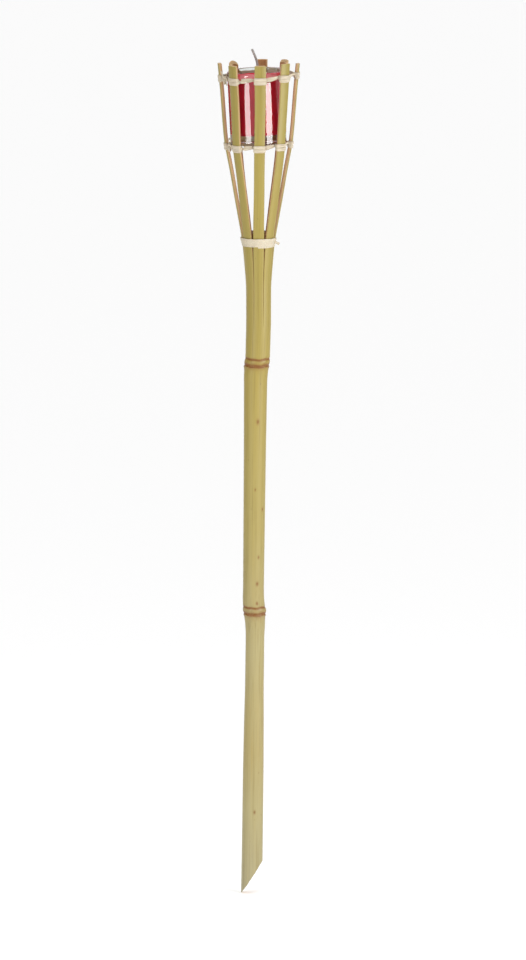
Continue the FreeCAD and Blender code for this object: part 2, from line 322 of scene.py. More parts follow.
def bamboo_skin():
    """Dried bamboo culm with its own waxy skin: khaki, faintly streaked along the fibres, with
    brown node scars, a few dark flecks and a dull satin sheen."""
    m = new_material("dried_bamboo_skin")
    grain = add(m, "ShaderNodeAttribute", {"attribute_name": "grain"}).outputs["Vector"]
    parts = add(m, "ShaderNodeSeparateXYZ", inputs={0: grain})
    height = add(m, "ShaderNodeMath", {"operation": "DIVIDE"}, {0: parts.outputs["Z"], 1: TIPS})
    base = add(
        m,
        "ShaderNodeValToRGB",
        inputs={0: height.outputs[0]},
        stops=[
            (0.0, "#A19B80"),
            (0.1, "#A49C75"),
            (0.17, "#A09365"),
            (0.3, "#A1986F"),
            (0.345, "#9C9166"),
            (0.44, "#9A8D52"),
            (0.62, "#95853E"),
            (1.0, "#8E8136"),
        ],
    )
    streak_lines = add(m, "ShaderNodeMapping", inputs={"Vector": grain, "Scale": grain_scale(STREAK)})
    streaks = add(
        m,
        "ShaderNodeTexNoise",
        inputs={"Vector": streak_lines.outputs[0], "Scale": 1.0, "Detail": 6.0, "Roughness": 0.65},
    )
    streak_tone = add(
        m,
        "ShaderNodeValToRGB",
        inputs={0: streaks.outputs[0]},
        stops=[(0.3, "#C9BFA0"), (0.5, "#FFFFFF"), (0.72, "#FFF3D8")],
    )
    streaked = add(
        m,
        "ShaderNodeMix",
        {"data_type": "RGBA", "blend_type": "MULTIPLY"},
        {0: 0.75, 6: base.outputs[0], 7: streak_tone.outputs[0]},
    )
    patches = add(m, "ShaderNodeMapping", inputs={"Vector": grain, "Scale": grain_scale(PATCH)})
    mottle = add(
        m,
        "ShaderNodeTexNoise",
        inputs={"Vector": patches.outputs[0], "Scale": 1.0, "Detail": 3.0},
    )
    green = add(m, "ShaderNodeMath", {"operation": "MULTIPLY"}, {0: mottle.outputs[0], 1: 0.55})
    mottled = add(
        m,
        "ShaderNodeMix",
        {"data_type": "RGBA"},
        {0: green.outputs[0], 6: streaked.outputs[2], 7: colour("#98843F")},
    )
    scar_attribute = add(m, "ShaderNodeAttribute", {"attribute_name": "scar"})
    rags = add(m, "ShaderNodeMapping", inputs={"Vector": grain, "Scale": grain_scale(SCAR_RAG)})
    ragged = add(m, "ShaderNodeTexNoise", inputs={"Vector": rags.outputs[0], "Scale": 1.0, "Detail": 4.0})
    ragged_span = add(
        m,
        "ShaderNodeMapRange",
        inputs={"Value": ragged.outputs[0], "From Min": 0.36, "From Max": 0.56, "To Min": 0.8},
    )
    scar = add(
        m,
        "ShaderNodeMath",
        {"operation": "MULTIPLY"},
        {0: scar_attribute.outputs["Fac"], 1: ragged_span.outputs[0]},
    )
    scarred = add(
        m,
        "ShaderNodeMix",
        {"data_type": "RGBA"},
        {0: scar.outputs[0], 6: mottled.outputs[2], 7: colour("#744404")},
    )
    spots = add(m, "ShaderNodeMapping", inputs={"Vector": grain, "Scale": grain_scale(FLECK_SPACING)})
    cells = add(m, "ShaderNodeTexVoronoi", inputs={"Vector": spots.outputs[0], "Scale": 1.0})
    fleck = add(
        m,
        "ShaderNodeMapRange",
        inputs={
            "Value": cells.outputs["Distance"],
            "From Min": 0.03, "From Max": 0.07, "To Min": 0.55, "To Max": 0.0,
        },
    )
    flecked = add(
        m,
        "ShaderNodeMix",
        {"data_type": "RGBA"},
        {0: fleck.outputs[0], 6: scarred.outputs[2], 7: colour("#5E4A24")},
    )
    rough = add(
        m,
        "ShaderNodeMapRange",
        inputs={"Value": streaks.outputs[0], "To Min": 0.34, "To Max": 0.56},
    )
    fine_lines = add(m, "ShaderNodeMapping", inputs={"Vector": grain, "Scale": grain_scale(SKIN_FIBRE)})
    fine = add(
        m,
        "ShaderNodeTexNoise",
        inputs={"Vector": fine_lines.outputs[0], "Scale": 1.0, "Detail": 3.0},
    )
    relief = add(
        m,
        "ShaderNodeBump",
        inputs={"Height": fine.outputs[0], "Strength": 0.25, "Distance": 0.0002},
    )
    shader = add(
        m,
        "ShaderNodeBsdfPrincipled",
        inputs={
            "Base Color": flecked.outputs[2],
            "Roughness": rough.outputs[0],
            "IOR": 1.5,
            "Normal": relief.outputs[0],
        },
    )
    add(m, "ShaderNodeOutputMaterial", inputs={"Surface": shader.outputs[0]})
    return m


def split_bamboo():
    """Sawn and split bamboo under the skin: pinkish tan fibres, darker and browner towards the
    inner face, partly the wood's own tone and partly painted shade of the basket's inside, matt
    and rough to the eye, with the fibre ends as dots on the cut ends."""
    m = new_material("split_bamboo")
    grain = add(m, "ShaderNodeAttribute", {"attribute_name": "grain"}).outputs["Vector"]
    depth = add(m, "ShaderNodeAttribute", {"attribute_name": "depth"})
    # Darker and browner towards the inner face (depth 1): partly the wood's own tone, partly painted shade
    # of the inside of the basket and of the hollow culm.
    base = add(
        m,
        "ShaderNodeValToRGB",
        inputs={0: depth.outputs["Fac"]},
        stops=[(0.0, "#BFAA68"), (0.25, "#D4B88C"), (0.8, "#CBA880"), (1.0, "#AE7E50")],
    )
    fibre_lines = add(m, "ShaderNodeMapping", inputs={"Vector": grain, "Scale": grain_scale(SPLIT_FIBRE)})
    fibres = add(
        m,
        "ShaderNodeTexNoise",
        inputs={"Vector": fibre_lines.outputs[0], "Scale": 1.0, "Detail": 6.0, "Roughness": 0.7},
    )
    tone = add(
        m,
        "ShaderNodeValToRGB",
        inputs={0: fibres.outputs[0]},
        stops=[(0.3, "#D0B79C"), (0.6, "#FFFFFF")],
    )
    toned = add(
        m,
        "ShaderNodeMix",
        {"data_type": "RGBA", "blend_type": "MULTIPLY"},
        {0: 0.8, 6: base.outputs[0], 7: tone.outputs[0]},
    )
    bundle_lines = add(m, "ShaderNodeMapping", inputs={"Vector": grain, "Scale": grain_scale(BUNDLE)})
    bundles = add(m, "ShaderNodeTexVoronoi", inputs={"Vector": bundle_lines.outputs[0], "Scale": 1.0})
    dots = add(
        m,
        "ShaderNodeMapRange",
        inputs={
            "Value": bundles.outputs["Distance"],
            "From Min": 0.12, "From Max": 0.3, "To Min": 0.45, "To Max": 0.0,
        },
    )
    dotted = add(
        m,
        "ShaderNodeMix",
        {"data_type": "RGBA"},
        {0: dots.outputs[0], 6: toned.outputs[2], 7: colour("#7A5230")},
    )
    relief = add(
        m,
        "ShaderNodeBump",
        inputs={"Height": fibres.outputs[0], "Strength": 0.5, "Distance": 0.0003},
    )
    shader = add(
        m,
        "ShaderNodeBsdfPrincipled",
        inputs={
            "Base Color": dotted.outputs[2],
            "Roughness": 0.78,
            "IOR": 1.5,
            "Normal": relief.outputs[0],
        },
    )
    add(m, "ShaderNodeOutputMaterial", inputs={"Surface": shader.outputs[0]})
    return m


def fibre(name, light, dark, thread, rough):
    """Flat plant-fibre cord or strip: cream, its fine fibres lying along it, dry and matt. A
    thread is as wide and as long as given, in millimetres."""
    m = new_material(name)
    grain = add(m, "ShaderNodeAttribute", {"attribute_name": "grain"})
    lines = add(m, "ShaderNodeMapping", inputs={0: grain.outputs["Vector"], "Scale": grain_scale(thread)})
    threads = add(
        m,
        "ShaderNodeTexNoise",
        inputs={"Vector": lines.outputs[0], "Scale": 1.0, "Detail": 5.0, "Roughness": 0.6},
    )
    tone = add(m, "ShaderNodeValToRGB", inputs={0: threads.outputs[0]}, stops=[(0.32, dark), (0.62, light)])
    relief = add(
        m,
        "ShaderNodeBump",
        inputs={"Height": threads.outputs[0], "Strength": 0.6, "Distance": 0.0003},
    )
    shader = add(
        m,
        "ShaderNodeBsdfPrincipled",
        inputs={
            "Base Color": tone.outputs[0],
            "Roughness": rough,
            "IOR": 1.45,
            "Subsurface Weight": 0.15,
            "Subsurface Radius": (1.0, 0.7, 0.5),
            "Subsurface Scale": 0.0012,
            "Normal": relief.outputs[0],
        },
    )
    add(m, "ShaderNodeOutputMaterial", inputs={"Surface": shader.outputs[0]})
    return m


def plug_wood():
    """Unfinished softwood, stained brown: straight growth lines 2.4 mm apart, a dull surface."""
    m = new_material("brown_softwood")
    place = add(m, "ShaderNodeTexCoord")
    stretch = add(
        m,
        "ShaderNodeMapping",
        inputs={"Vector": place.outputs["Object"], "Scale": grain_scale((2.4 * MM, 25.0 * MM))},
    )
    rings = add(m, "ShaderNodeTexNoise", inputs={"Vector": stretch.outputs[0], "Scale": 1.0, "Detail": 4.0})
    tone = add(
        m,
        "ShaderNodeValToRGB",
        inputs={0: rings.outputs[0]},
        stops=[(0.35, "#6A4318"), (0.65, "#9A6E38")],
    )
    relief = add(
        m,
        "ShaderNodeBump",
        inputs={"Height": rings.outputs[0], "Strength": 0.4, "Distance": 0.0003},
    )
    shader = add(
        m,
        "ShaderNodeBsdfPrincipled",
        inputs={"Base Color": tone.outputs[0], "Roughness": 0.7, "IOR": 1.5, "Normal": relief.outputs[0]},
    )
    add(m, "ShaderNodeOutputMaterial", inputs={"Surface": shader.outputs[0]})
    return m


def clear_glass():
    """Pressed soda-lime glass: colourless, smooth, with bright reflections and a dark base."""
    m = new_material("clear_soda_lime_glass")
    shader = add(
        m,
        "ShaderNodeBsdfPrincipled",
        inputs={
            "Base Color": colour("#E4EBE8"),
            "Roughness": 0.0,
            "IOR": 1.52,
            "Transmission Weight": 1.0,
        },
    )
    add(m, "ShaderNodeOutputMaterial", inputs={"Surface": shader.outputs[0]})
    return m


def red_wax():
    """Dyed candle wax poured into the glass: deep red, slightly translucent, smooth where it
    wets the glass, with faint cloudy swirls, about 14 mm across, where it cooled."""
    m = new_material("red_candle_wax")
    place = add(m, "ShaderNodeTexCoord")
    clouds = add(
        m,
        "ShaderNodeTexNoise",
        inputs={
            "Vector": place.outputs["Object"],
            "Scale": 1 / (14.0 * MM),
            "Detail": 3.0,
            "Distortion": 0.6,
        },
    )
    tone = add(
        m,
        "ShaderNodeValToRGB",
        inputs={0: clouds.outputs[0]},
        stops=[(0.3, "#DC2038"), (0.7, "#EC2C46")],
    )
    relief = add(
        m,
        "ShaderNodeBump",
        inputs={"Height": clouds.outputs[0], "Strength": 0.15, "Distance": 0.0005},
    )
    shader = add(
        m,
        "ShaderNodeBsdfPrincipled",
        inputs={
            "Base Color": tone.outputs[0],
            "Roughness": 0.3,
            "IOR": 1.44,
            "Specular IOR Level": 0.15,
            "Subsurface Weight": 0.25,
            "Subsurface Radius": (1.0, 0.12, 0.1),
            "Subsurface Scale": 0.003,
            "Normal": relief.outputs[0],
        },
    )
    add(m, "ShaderNodeOutputMaterial", inputs={"Surface": shader.outputs[0]})
    return m


def waxed_cotton():
    """Braided cotton wick soaked in pale wax: grey, half dull, with strands of 0.67 mm."""
    m = new_material("waxed_cotton_braid")
    place = add(m, "ShaderNodeTexCoord")
    yarn = add(
        m,
        "ShaderNodeTexNoise",
        inputs={"Vector": place.outputs["Object"], "Scale": 1 / (0.67 * MM), "Detail": 3.0},
    )
    tone = add(
        m,
        "ShaderNodeValToRGB",
        inputs={0: yarn.outputs[0]},
        stops=[(0.35, "#77736E"), (0.65, "#A8A39D")],
    )
    relief = add(
        m,
        "ShaderNodeBump",
        inputs={"Height": yarn.outputs[0], "Strength": 0.5, "Distance": 0.0002},
    )
    shader = add(
        m,
        "ShaderNodeBsdfPrincipled",
        inputs={"Base Color": tone.outputs[0], "Roughness": 0.55, "Normal": relief.outputs[0]},
    )
    add(m, "ShaderNodeOutputMaterial", inputs={"Surface": shader.outputs[0]})
    return m


def tinplate():
    """Pressed tinplate: bright grey metal with rolling marks 0.17 mm wide and 5 mm long."""
    m = new_material("pressed_tinplate")
    place = add(m, "ShaderNodeTexCoord")
    length, width = 5.0 * MM, 0.17 * MM
    stretch = add(
        m,
        "ShaderNodeMapping",
        inputs={"Vector": place.outputs["Object"], "Scale": (1 / length, 1 / width, 1 / length)},
    )
    marks = add(m, "ShaderNodeTexNoise", inputs={"Vector": stretch.outputs[0], "Scale": 1.0})
    rough = add(m, "ShaderNodeMapRange", inputs={"Value": marks.outputs[0], "To Min": 0.25, "To Max": 0.45})
    shader = add(
        m,
        "ShaderNodeBsdfPrincipled",
        inputs={"Base Color": colour("#C8C8C4"), "Metallic": 1.0, "Roughness": rough.outputs[0]},
    )
    add(m, "ShaderNodeOutputMaterial", inputs={"Surface": shader.outputs[0]})
    return m


# ---------------------------------------------------------------- pole

def culm_axis(z):
    """How far the culm's axis lies to +X: straight between nodes, with a step at each node."""
    known = [0, LOWER_NODE - 12, LOWER_NODE, LOWER_NODE + 12, UPPER_NODE - 12, UPPER_NODE + 5, SPLIT]
    shift = [-6.4, -3.15, -3.9, -4.8, -2.7, -0.9, 0.0]
    return soft_interp(z, known, shift, 8.0)


def culm_radius(z):
    """The culm's radius: tapering internodes that swell towards each node."""
    known = [
        0, 60, 115, 160, 190, LOWER_NODE - 22, LOWER_NODE - 8, LOWER_NODE, LOWER_NODE + 8, LOWER_NODE + 20,
        UPPER_NODE - 80, UPPER_NODE - 18, UPPER_NODE - 6, UPPER_NODE, UPPER_NODE + 6, SPLIT,
    ]
    radius = [
        9.65, 9.45, 9.4, 9.05, 8.62, 8.6, 9.35, 10.35, 10.0, 9.65,
        10.1, 10.55, 10.95, 11.35, 11.1, CULM_RADIUS,
    ]
    return soft_interp(z, known, radius, 6.0)


def node_relief(z):
    """Height of the node's rings: a lip and groove for the sheath scar, and a groove above."""
    relief = 0.0
    for middle in (LOWER_NODE, UPPER_NODE):
        relief = relief + 0.3 * bump(z, middle - 3.4, 0.9) - 0.36 * bump(z, middle - 1.8, 0.9)
        relief = relief + 0.24 * bump(z, middle + 1.3, 1.6) - 0.26 * bump(z, middle + 4.2, 0.8)
    return relief


def node_scars(z):
    """How brown the skin is: along the sheath scar's groove and the groove above the node."""
    scars = 0.0
    for middle in (LOWER_NODE, UPPER_NODE):
        scars = scars + 1.4 * bump(z, middle - 1.8, 1.3) + 1.1 * bump(z, middle + 4.2, 1.1)
        scars = scars + 0.4 * bump(z, middle - 1.5, 4.5)
    return np.clip(scars, 0, 1)


def make_pole(skin, cut):
    """The culm, from the septum above the slanted foot, down and round the cut face, up the
    outside to the split, and down inside to the upper septum.

    A point is the axis at its height plus the radius there in the column's direction. Below
    the foot's shoulder the outer rows blend from the slanted cut to level rings.
    """
    columns = 120
    around = np.linspace(0, 2 * math.pi, columns, endpoint=False)
    rise = FOOT_CUT / (2 * FOOT_RADIUS)
    inner = FOOT_RADIUS - CULM_WALL
    shoulder = 46.0
    chips = wander(around, 3, 0.35, 0.9, 0.37, 0.23)
    low_outer = rise * FOOT_RADIUS * (1 + np.cos(around)) + chips
    low_inner = rise * (FOOT_RADIUS + inner * np.cos(around)) + chips

    rows = []
    for share in np.linspace(0, 1, 8):
        rows.append((FOOT_SEPTUM + (low_inner - FOOT_SEPTUM) * share, np.full(columns, inner), 1.0))
    for share in (0.05, 0.35, 0.65, 0.95):
        rows.append((low_inner + (low_outer - low_inner) * share, inner + CULM_WALL * share, 1 - share))
    for share in np.linspace(0, 1, 24) ** 1.3:
        z = low_outer + (shoulder - low_outer) * share + 0.15 * (share == 0)
        rows.append((z, culm_radius(z), 0.0))
    fine = np.concatenate(
        [
            np.linspace(shoulder, LOWER_NODE - 14, 160)[1:],
            np.linspace(LOWER_NODE - 14, LOWER_NODE + 14, 90)[1:],
            np.linspace(LOWER_NODE + 14, UPPER_NODE - 14, 160)[1:],
            np.linspace(UPPER_NODE - 14, UPPER_NODE + 14, 90)[1:],
            np.linspace(UPPER_NODE + 14, SPLIT, 12)[1:],
        ]
    )
    for z in fine:
        rows.append((np.full(columns, z), culm_radius(z) + 0 * around, 0.0))
    outer_end = len(rows)
    for share in (0.08, 0.5, 0.92):
        rows.append((np.full(columns, SPLIT), np.full(columns, CULM_RADIUS - CULM_WALL * share), share))
    for z in np.linspace(SPLIT - 0.3, TOP_SEPTUM, 6):
        rows.append((np.full(columns, z), np.full(columns, STAVE_INNER), 1.0))

    z = np.stack([row[0] for row in rows])
    radius = np.stack([np.broadcast_to(row[1], columns) for row in rows])
    depth = np.stack([np.broadcast_to(row[2], columns) for row in rows])
    lean = z - NODE_LEAN * np.cos(around) + 0.35 * np.sin(3 * around) + 0.2 * np.sin(7 * around + z / 9)
    skin_share = (depth == 0).astype(float)
    radius = radius + skin_share * node_relief(lean)
    fade = np.clip((SPLIT - 8 - z) / 20, 0, 1)
    oval = 0.10 * np.cos(2 * around + z / 90) + 0.05 * np.cos(3 * around + 1.0)
    bud = 0.55 * bump(lean, LOWER_NODE + 0.5, 3.2) * bump(np.cos(around - 0.15), 1.0, 0.22)
    bud = bud + 0.4 * bump(lean, UPPER_NODE - 3.0, 3.0) * bump(np.cos(around - math.pi + 0.2), 1.0, 0.2)
    radius = radius + skin_share * fade * (oval + bud)
    points = np.stack(
        [culm_axis(z) + radius * np.cos(around), radius * np.sin(around), z],
        axis=-1,
    )
    grain = np.stack([radius * np.cos(around), radius * np.sin(around), z], axis=-1)
    scar = node_scars(lean)
    for height, bearing, size in MARKS:
        across = bump(culm_radius(z) * np.sin((around - math.radians(bearing - 90)) / 2), 0.0, size / 3)
        scar = scar + across * bump(z, height, size) * (np.cos(around - math.radians(bearing - 90)) > 0)
    scar = np.clip(scar, 0, 1) * skin_share
    cut_rows = np.zeros((len(rows) - 1, columns), dtype=np.int32)
    cut_rows[:11] = 1
    cut_rows[outer_end:] = 1
    in_cut = np.concatenate([cut_rows.ravel(), np.ones(2 * columns, dtype=np.int32)])
    fields = {"grain": with_ends(grain), "depth": with_ends(depth), "scar": with_ends(scar)}
    make_piece(
        "culm_pole", closed_mesh([points]), skin, "torch", ["pole"], cut, in_cut, fields
    )


# ---------------------------------------------------------------- staves

def stave_angle(index):
    """The bearing of a stave's middle, in radians from +X: stave_1 faces -Y, the rest follow."""
    return math.radians(STAVE_PHASE - 90.0) + 2 * HALF_PITCH * index


def ramp_up(z, start, width):
    """Zero below the start and rising at slope one above it, with a rounded corner."""
    x = z - start
    return (x + np.sqrt(x * x + width * width)) / 2


def stave_radius(z):
    """The distance from the basket's axis to a stave's outer face: straight runs that turn
    outwards at the flare and the neck, and back a little at the seat ring."""
    below = (NECK_RADIUS - CULM_RADIUS) / (NECK - FLARE)
    above = (SEAT_RADIUS - NECK_RADIUS) / (SEAT - NECK)
    crown = (TIP_RADIUS - SEAT_RADIUS) / (TIPS - SEAT)
    settled = ramp_up(SPLIT, FLARE, 6.0) * below
    return (
        CULM_RADIUS
        - settled
        + below * ramp_up(z, FLARE, 6.0)
        + (above - below) * ramp_up(z, NECK, 5.0)
        + (crown - above) * ramp_up(z, SEAT, 5.0)
    )


def stave_frame(index, z):
    """Where a stave's outer middle line is at a height, and its outward, sideways and along
    directions. Each stave wanders a little, as split bamboo does, more towards its tip."""
    z = np.asarray(z, dtype=float)
    free = np.clip((z - NECK - 8) / 60, 0, 1)
    radial = stave_radius(z) + free * wander(z, 20 + index, 0.35, 150.0, 70.0)
    lean = math.radians(STAVE_LEANS[index]) * np.clip((z - NECK) / (TIPS - NECK), 0, 2)
    sideways = free * wander(z, 40 + index, 0.4, 190.0, 85.0) + radial * np.tan(lean)
    slope = np.gradient(radial, z) if z.size > 1 else (stave_radius(z + 1) - stave_radius(z - 1)) / 2
    twist = free * math.radians(STAVE_TWISTS[index])
    angle = stave_angle(index)
    out = np.array([math.cos(angle), math.sin(angle), 0.0])
    side = np.array([-math.sin(angle), math.cos(angle), 0.0])
    up = np.array([0.0, 0.0, 1.0])
    size = np.sqrt(1 + slope**2)[..., None]
    slope = slope[..., None]
    along = (out * slope + up) / size
    normal = (out - up * slope) / size
    origin = out * radial[..., None] + side * sideways[..., None] + up * z[..., None]
    turn = twist[..., None]
    outward = normal * np.cos(turn) + side * np.sin(turn)
    across = side * np.cos(turn) - normal * np.sin(turn)
    return origin, outward, across, along


def stave_width(z):
    """How much wider a stave is than its share of the culm at the split: the culm grew
    thicker towards the basket."""
    known = [SPLIT, FLARE, SPLIT + 48, SPLIT + 60, NECK, SEAT - 45, SEAT, TIPS - 35, TIPS]
    return soft_interp(z, known, [1.0, 1.01, 1.05, 1.11, 1.13, 1.1, 1.08, 1.12, 1.2], 8.0)


def stave_section(half_gap, wide):
    """A stave's section as rows of (outward, sideways) and each point's depth from the skin.

    Two arcs about the culm's axis, joined by the split sides, with small worn corners.
    """
    worn = 0.25
    skin_radius = CULM_RADIUS * wide
    inner_radius = skin_radius - CULM_WALL
    outer_half = HALF_PITCH - half_gap / skin_radius
    inner_half = HALF_PITCH - half_gap / inner_radius
    trim = worn / skin_radius
    outer = np.linspace(-outer_half + 2.4 * trim, outer_half - 2.4 * trim, 15)
    radii = [np.full(15, skin_radius)]
    angles = [outer]
    corner_radii = np.array([0.02, 0.12, 0.5, 1.1]) * worn * 2
    corner_angles = np.array([1.2, 0.35, 0.0, 0.0]) * trim
    side_radii = np.linspace(skin_radius - 0.8, inner_radius + 0.8, 5)
    radii.append(skin_radius - corner_radii)
    angles.append(outer_half - corner_angles)
    radii.append(side_radii)
    angles.append(np.linspace(outer_half, inner_half, 5))
    radii.append(inner_radius + corner_radii[::-1])
    angles.append(inner_half - corner_angles[::-1])
    inner = np.linspace(inner_half - 2.4 * trim, -inner_half + 2.4 * trim, 11)
    radii.append(np.full(11, inner_radius))
    angles.append(inner)
    radii.append(inner_radius + corner_radii)
    angles.append(-inner_half + corner_angles)
    radii.append(side_radii[::-1])
    angles.append(np.linspace(-inner_half, -outer_half, 5))
    radii.append(skin_radius - corner_radii[::-1])
    angles.append(-outer_half + corner_angles[::-1])
    radius = np.concatenate(radii)
    angle = np.concatenate(angles)
    outward = radius * np.cos(angle) - skin_radius
    return outward, radius * np.sin(angle), (skin_radius - radius) / CULM_WALL


def make_stave(index, skin, cut):
    """A stave: its section carried up its path, with a worn end sawn across at the tip.

    The end's slope towards the inside, and its roundness from side to side, differ from
    stave to stave.
    """
    tip = top_of(f"stave_{index + 1}") - 0.1
    heights = np.concatenate([np.linspace(SPLIT, NECK, 26), np.linspace(NECK, tip - 6, 64)[1:]])
    count = len(heights)
    free = np.clip((heights - SPLIT - 30) / 60, 0, 1)
    gaps = np.interp(heights, [SPLIT, SPLIT + 20], [0.0, KERF / 2])
    widths = stave_width(heights) * (1 + (STAVE_WIDTHS[index] - 1) * free)
    sections = [stave_section(gap, width) for gap, width in zip(gaps, widths)]
    outward = np.stack([section[0] for section in sections])
    sideways = np.stack([section[1] for section in sections])
    depth = np.stack([section[2] for section in sections])
    origin, out, side, along = stave_frame(index, heights)
    body = (
        origin[:, None]
        + out[:, None] * outward[..., None]
        + side[:, None] * sideways[..., None]
    )
    last = body[-1]
    lift = 6.0 - END_SLOPES[index] * CULM_WALL * depth[-1] - END_CROWNS[index] * (sideways[-1] / 4.3) ** 2
    middle = last.mean(axis=0)
    ends = []
    edge = [(0.4, 0.0), (0.75, 0.0), (0.95, 0.0), (0.985, 0.012), (1.0, 0.05), (1.0, 0.12), (1.0, 0.6)]
    for share, inset in edge:
        ring = last + (middle - last) * inset + along[-1] * (lift * share)[:, None]
        ends.append(ring)
    points = np.concatenate([body, np.stack(ends)])
    levels = np.concatenate([heights, np.full(len(ends), tip - 3)])
    columns = points.shape[1]
    angle = stave_angle(index)
    flat_out = np.concatenate([outward, np.repeat(outward[-1:], len(ends), axis=0)]) + CULM_RADIUS
    flat_side = np.concatenate([sideways, np.repeat(sideways[-1:], len(ends), axis=0)])
    grain = np.stack(
        [
            flat_out * math.cos(angle) - flat_side * math.sin(angle),
            flat_out * math.sin(angle) + flat_side * math.cos(angle),
            np.broadcast_to(levels[:, None], flat_out.shape),
        ],
        axis=-1,
    )
    depth = np.concatenate([depth, np.repeat(depth[-1:], len(ends), axis=0)])
    depth[-3:] = 0.35
    face_cut = np.ones((len(points) - 1, columns), dtype=np.int32)
    face_cut[: count + 3, :16] = 0
    face_cut[: count + 3, -3:] = 0
    in_cut = np.concatenate([face_cut.ravel(), np.ones(2 * columns, dtype=np.int32)])
    fields = {
        "grain": with_ends(grain),
        "depth": with_ends(depth),
        "scar": with_ends(np.zeros(depth.shape)),
    }
    make_piece(
        f"basket_stave_{index + 1}",
        closed_mesh([points]),
        skin,
        "torch",
        [f"stave_{index + 1}"],
        cut,
        in_cut,
        fields,
    )


# ---------------------------------------------------------------- cords

def even_steps(points, normals, step, looped):
    """Resamples a line of points and their side directions at an even step."""
    if looped:
        points = np.concatenate([points, points[:1]])
        normals = np.concatenate([normals, normals[:1]])
    lengths = np.linalg.norm(np.diff(points, axis=0), axis=1)
    travelled = np.concatenate([[0], np.cumsum(lengths)])
    count = int(travelled[-1] / step)
    at = np.linspace(0, travelled[-1], count, endpoint=not looped)
    resampled = []
    for values in (points, normals):
        columns = [np.interp(at, travelled, values[:, i]) for i in range(values.shape[1])]
        resampled.append(np.stack(columns, axis=1))
    return *resampled, at


def rounded(values, spread, looped):
    """Rounds a line's corners by a weighted mean over neighbouring steps."""
    reach = int(3 * spread)
    weights = np.exp(-0.5 * (np.arange(-reach, reach + 1) / spread) ** 2)
    weights = weights / weights.sum()
    mode = "wrap" if looped else "edge"
    padded = np.pad(values, ((reach, reach), (0, 0)), mode=mode)
    return np.stack([np.convolve(padded[:, i], weights, "valid") for i in range(values.shape[1])], axis=1)


def ribbon(path, normals, width, thickness, looped, lobes=5, seed=0):
    """A flat cord along a path: a flattened oval section with a few fibre ridges.

    The normals point along its thickness. Returns its points and its grain, where grain's
    third value runs along the cord.
    """
    tangent = np.gradient(path, axis=0)
    if looped:
        tangent = (np.roll(path, -1, axis=0) - np.roll(path, 1, axis=0)) / 2
    tangent = tangent / np.linalg.norm(tangent, axis=1, keepdims=True)
    normal = normals - tangent * (normals * tangent).sum(axis=1, keepdims=True)
    normal = normal / np.linalg.norm(normal, axis=1, keepdims=True)
    across = np.cross(tangent, normal)
    turn = np.linspace(0, 2 * math.pi, 20, endpoint=False)
    wide = np.sign(np.cos(turn)) * np.abs(np.cos(turn)) ** 0.7
    thick = np.sign(np.sin(turn)) * np.abs(np.sin(turn)) ** 0.6
    thick = thick * (1 + 0.14 * np.cos(lobes * math.pi * wide))
    steps = np.linalg.norm(np.diff(path, axis=0, prepend=path[:1]), axis=1)
    along = np.cumsum(steps)
    width = np.broadcast_to(width, len(path))
    spread = width / 2 * (1 + wander(along, seed, 0.06, 17.0, 7.3))
    depth = thickness / 2 * (1 + wander(along, seed + 1, 0.08, 11.0, 5.1))
    points = (
        path[:, None]
        + across[:, None] * (wide * spread[:, None])[..., None]
        + normal[:, None] * (thick * depth[:, None])[..., None]
    )
    values = [wide * width[:, None] / 2, thick * thickness / 2, along[:, None]]
    grain = np.stack(np.broadcast_arrays(*values), axis=-1)
    return points, grain


def lashing_path(height, tilt, seed):
    """The route of one cord round the basket.

    On each stave it comes in behind, passes over the outside, goes round the back, passes over
    the outside again just below and leaves behind towards the next stave. Each stop is an
    outward and a sideways distance from the stave's outer middle, a level, and how many cord
    thicknesses it lies off the wood.
    """
    rng = np.random.default_rng(seed)
    stops = [
        (-3.64, -3.2, 0.9, 1), (-2.3, -3.9, 1.3, 0), (-0.9, -4.4, 1.6, 0), (-0.25, -2.3, 1.65, 0),
        (0.0, 0.0, 1.65, 0), (-0.25, 2.3, 1.65, 0), (-0.9, 4.4, 1.6, 0), (-2.3, 3.9, 1.2, 0),
        (-3.64, 3.2, 0.7, 0), (-3.5, 0.0, 0.0, 0), (-3.64, -3.2, -0.9, 0), (-2.3, -3.9, -1.4, 0),
        (-0.9, -4.4, -1.65, 0), (-0.25, -2.3, -1.65, 0), (0.0, 0.0, -1.65, 0), (-0.25, 2.3, -1.65, 0),
        (-0.9, 4.4, -1.6, 0), (-2.3, 3.9, -1.0, 0), (-3.64, 3.2, -0.1, 1),
    ]
    points = []
    normals = []
    for index in range(STAVES):
        run = math.cos(stave_angle(index)) * float(stave_radius(height))
        level = height + run * math.tan(tilt)
        origin, out, side, along = stave_frame(index, level)
        wide = float(stave_width(level))
        for outward, sideways, rise, layer in stops:
            sideways = sideways * wide
            facing = np.array([outward + 2.0, sideways * 0.62])
            facing = facing / np.linalg.norm(facing)
            gap = CORD_THICKNESS * (0.52 + layer)
            rise = rise + rng.uniform(-0.12, 0.12)
            outward = outward + facing[0] * gap
            sideways = sideways + facing[1] * gap
            points.append(origin + out * outward + side * sideways + along * rise)
            facing = out * facing[0] + side * facing[1]
            normals.append(np.append(facing, CORD_WIDTH * (1 + 0.3 * layer)))
    path, facing, _ = even_steps(np.array(points), np.array(normals), 0.3, True)
    facing = rounded(facing, 3.5, True)
    return rounded(path, 2.2, True), facing[:, :3], facing[:, 3]


def knot_path(centre, out, size):
    """An overhand knot drawn tight: a three-lobed loop, flattened against the basket."""
    t = np.linspace(0, 2 * math.pi, 120, endpoint=False)
    side = np.array([-out[1], out[0], 0.0])
    up = np.array([0.0, 0.0, 1.0])
    across = (np.sin(t) + 2 * np.sin(2 * t)) / 3
    high = (np.cos(t) - 2 * np.cos(2 * t)) / 3
    deep = -np.sin(3 * t) * 0.32
    path = centre + size * (across[:, None] * side + high[:, None] * up + deep[:, None] * out)
    return path, np.broadcast_to(out, path.shape)


